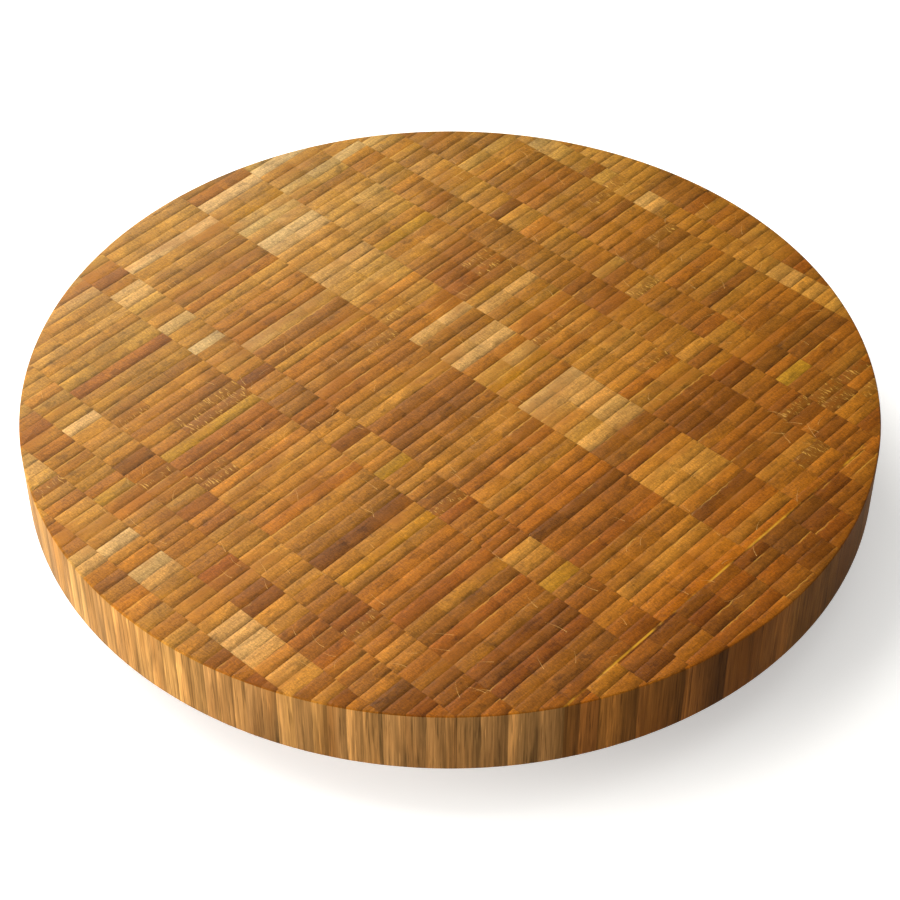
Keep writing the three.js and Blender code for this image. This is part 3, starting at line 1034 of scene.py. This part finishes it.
def makePliedBamboo():
    look = baseRing
    low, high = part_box("base_ring")
    material, tree, shader = newMaterial("pliedBamboo")
    here = objectPlace(tree)
    parts = addNode(tree, "SeparateXYZ", {0: here}).outputs
    faceStrips, faceFibres = plyStrips(tree, look, parts[0], parts[1], here)
    coreStrips, coreFibres = plyStrips(tree, look, parts[1], parts[0], here)
    third = (high.z - low.z) / 3
    level = maths(tree, "ABSOLUTE", maths(tree, "SUBTRACT", parts[2], (low.z + high.z) / 2))
    inCore = maths(tree, "LESS_THAN", level, third / 2)
    tone = mixColour(tree, inCore, faceStrips, coreStrips)
    glueLine = maths(tree, "ABSOLUTE", maths(tree, "SUBTRACT", level, third / 2))
    tone = mixColour(tree, spread(tree, glueLine, 0.00025, 0.0001, 0.0, 0.8), tone, look["glue"])
    setSocket(tree, shader["Base Color"], tone)
    fibres = mixValue(tree, inCore, faceFibres, coreFibres)
    setSocket(tree, shader["Roughness"], spread(tree, fibres, 0.3, 0.7, 0.42, 0.56))
    shader["Specular IOR Level"].default_value = 0.3
    setSocket(tree, shader["Normal"], bumpUp(tree, fibres, 0.00008, 0.7))
    return material


def buildBaseRing(material):
    low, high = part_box("base_ring")
    bm = bmesh.new()
    turnProfile(bm, band(baseRing["bore"], high.x, low.z, high.z, baseRing["edgeRound"]), baseRing["segments"])
    cutter = bmesh.new()
    for look, nodes, upward in ((ringScrew, baseScrewNodes, False), (footScrew, footScrewNodes, True)):
        addHoles(cutter, nodes, pilotHole(look["radius"] + look["room"], nodes[0]), upward)
    cutAway(bm, cutter)
    finishPiece("baseRing", bm, [material], "base", ["base_ring"])


buildBaseRing(makePliedBamboo())
print("base ring built")


# Rubber feet, each with a washer in its recess

foot = {
    "soleRadius": 0.0088,
    "soleRound": 0.0009,
    "topRadius": 0.011,
    "topRound": 0.0006,
    "recessRadius": 0.0058,
    "recessDepth": 0.0046,
    "mouthRound": 0.0004,
    "recessRound": 0.0002,
    "grooveDepth": 0.0004,
    "grooveMouth": 0.001,
    "grooveFloor": 0.0006,
    "grooveRound": 0.0001,
    "segments": 64,
    "washerRound": 0.00015,
    "washerSegments": 48,
    "rubber": ((0.012, 0.012, 0.013, 1), (0.024, 0.024, 0.025, 1)),
    "dust": (0.060, 0.058, 0.054, 1),
}


def makeFootRubber():
    material, tree, shader = newMaterial("mouldedRubber")
    here = objectPlace(tree)
    cloud = noise(tree, here, 160.0, 3.0)
    pimples = noise(tree, here, 2600.0, 2.0)
    dust = spread(tree, noise(tree, here, 900.0, 4.0, 0.7), 0.56, 0.72, 0.0, 0.5)
    tone = mixColour(tree, dust, mixColour(tree, cloud, *foot["rubber"]), foot["dust"])
    setSocket(tree, shader["Base Color"], tone)
    setSocket(tree, shader["Roughness"], spread(tree, cloud, 0.3, 0.7, 0.62, 0.78))
    setSocket(tree, shader["Normal"], bumpUp(tree, pimples, 0.00005, 0.6))
    return material


def buildFeet(rubber, steel):
    sole, recess, depth = foot["soleRadius"], foot["recessRadius"], foot["recessDepth"]
    bore = footScrew["radius"] + footScrew["room"]
    grip = (sole + recess) / 2  # a ring groove runs round the middle of the sole
    mouth, floor = foot["grooveMouth"] / 2, foot["grooveFloor"] / 2
    for footNode, washerNode in zip(footNodes, washerNodes):
        place = boxCentre(footNode).xy.to_3d()
        low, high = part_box(footNode)
        bm = bmesh.new()
        turnProfile(
            bm, [(recess, 0, foot["mouthRound"]), (grip - mouth, 0, foot["grooveRound"]),
                 (grip - floor, foot["grooveDepth"], 0), (grip + floor, foot["grooveDepth"], 0),
                 (grip + mouth, 0, foot["grooveRound"]), (sole, 0, foot["soleRound"]),
                 (foot["topRadius"], high.z, foot["topRound"]), (bore, high.z, 0),
                 (bore, depth, 0), (recess, depth, foot["recessRound"])], foot["segments"])
        bmesh.ops.translate(bm, verts=bm.verts, vec=place)
        finishPiece("foot" + footNode[-1], bm, [rubber], "base", [footNode])
        low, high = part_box(washerNode)
        profile = band(bore, (high.x - low.x) / 2, low.z, high.z, foot["washerRound"])
        bm = bmesh.new()
        turnProfile(bm, profile, foot["washerSegments"])
        bmesh.ops.translate(bm, verts=bm.verts, vec=place)
        finishPiece("footWasher" + washerNode[-1], bm, [steel], "base", [washerNode])


buildFeet(makeFootRubber(), screwSteel)
print("feet built")


# Loose fibres: fine slivers that wear has lifted from the top

fibres = {
    "count": 170,
    "steps": 6,
    "thickness": 0.00016,
    "shortest": 0.003,
    "longest": 0.011,
    "bend": 9.0,  # degrees at each step
    "taper": 0.8,  # at each step
    "sunk": 0.00002,  # how deep a sliver lies in the top
    "margin": 0.008,  # from the top's edge
    "heading": 0.6,  # radians that a sliver's direction may stray from across the strips
    "seed": 23,
    "pale": (0.700, 0.430, 0.130, 1),
    "dark": (0.470, 0.245, 0.045, 1),
}


def makeLooseFibre():
    material, tree, shader = newMaterial("looseFibre")
    here = objectPlace(tree)
    tone = noise(tree, here, 240.0, 3.0)
    setSocket(tree, shader["Base Color"], mixColour(tree, tone, fibres["dark"], fibres["pale"]))
    setSocket(tree, shader["Roughness"], spread(tree, tone, 0.3, 0.7, 0.4, 0.55))
    shader["Specular IOR Level"].default_value = 0.3
    return material


def buildFibres(material):
    draw = random.Random(fibres["seed"])
    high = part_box("turntable_top")[1]
    taper = [fibres["taper"]] * 3
    bm = bmesh.new()
    for _ in range(fibres["count"]):
        length = draw.uniform(fibres["shortest"], fibres["longest"])
        bend = math.radians(draw.uniform(-1, 1) * fibres["bend"])
        sliver = bmesh.new()
        bmesh.ops.create_circle(sliver, cap_ends=True, segments=3, radius=fibres["thickness"] / 2)
        onSide = Matrix.Rotation(math.pi / 2, 3, "Y")
        bmesh.ops.rotate(sliver, verts=sliver.verts, matrix=onSide, cent=(0, 0, 0))
        tip, heading, centre = list(sliver.faces), Vector((length / fibres["steps"], 0, 0)), Vector()
        for step in range(fibres["steps"]):
            made = bmesh.ops.extrude_face_region(sliver, geom=tip)
            if step:
                bmesh.ops.delete(sliver, geom=tip, context="FACES")
            tip, verts = only(bmesh.types.BMFace, made), only(bmesh.types.BMVert, made)
            heading.rotate(Matrix.Rotation(bend, 3, "Z"))
            bmesh.ops.translate(sliver, verts=verts, vec=heading)
            centre = centre + heading
            bmesh.ops.rotate(sliver, verts=verts, cent=centre, matrix=Matrix.Rotation(bend, 3, "Z"))
            bmesh.ops.scale(sliver, verts=verts, vec=taper, space=Matrix.Translation(-centre))
        bmesh.ops.recalc_face_normals(sliver, faces=sliver.faces)
        reach = (high.x - fibres["margin"]) * math.sqrt(draw.random())
        angle = draw.uniform(0, math.tau)
        level = high.z + fibres["thickness"] / 4 - fibres["sunk"]
        place = Matrix.Translation((reach * math.cos(angle), reach * math.sin(angle), level))
        turn = Matrix.Rotation(draw.gauss(math.pi / 2, fibres["heading"]), 4, "Z")
        bmesh.ops.transform(sliver, matrix=place @ turn, verts=sliver.verts)
        addShape(bm, sliver)
    finishPiece("surfaceFibres", bm, [material], "turntable", [])


buildFibres(makeLooseFibre())
print("fibres laid")
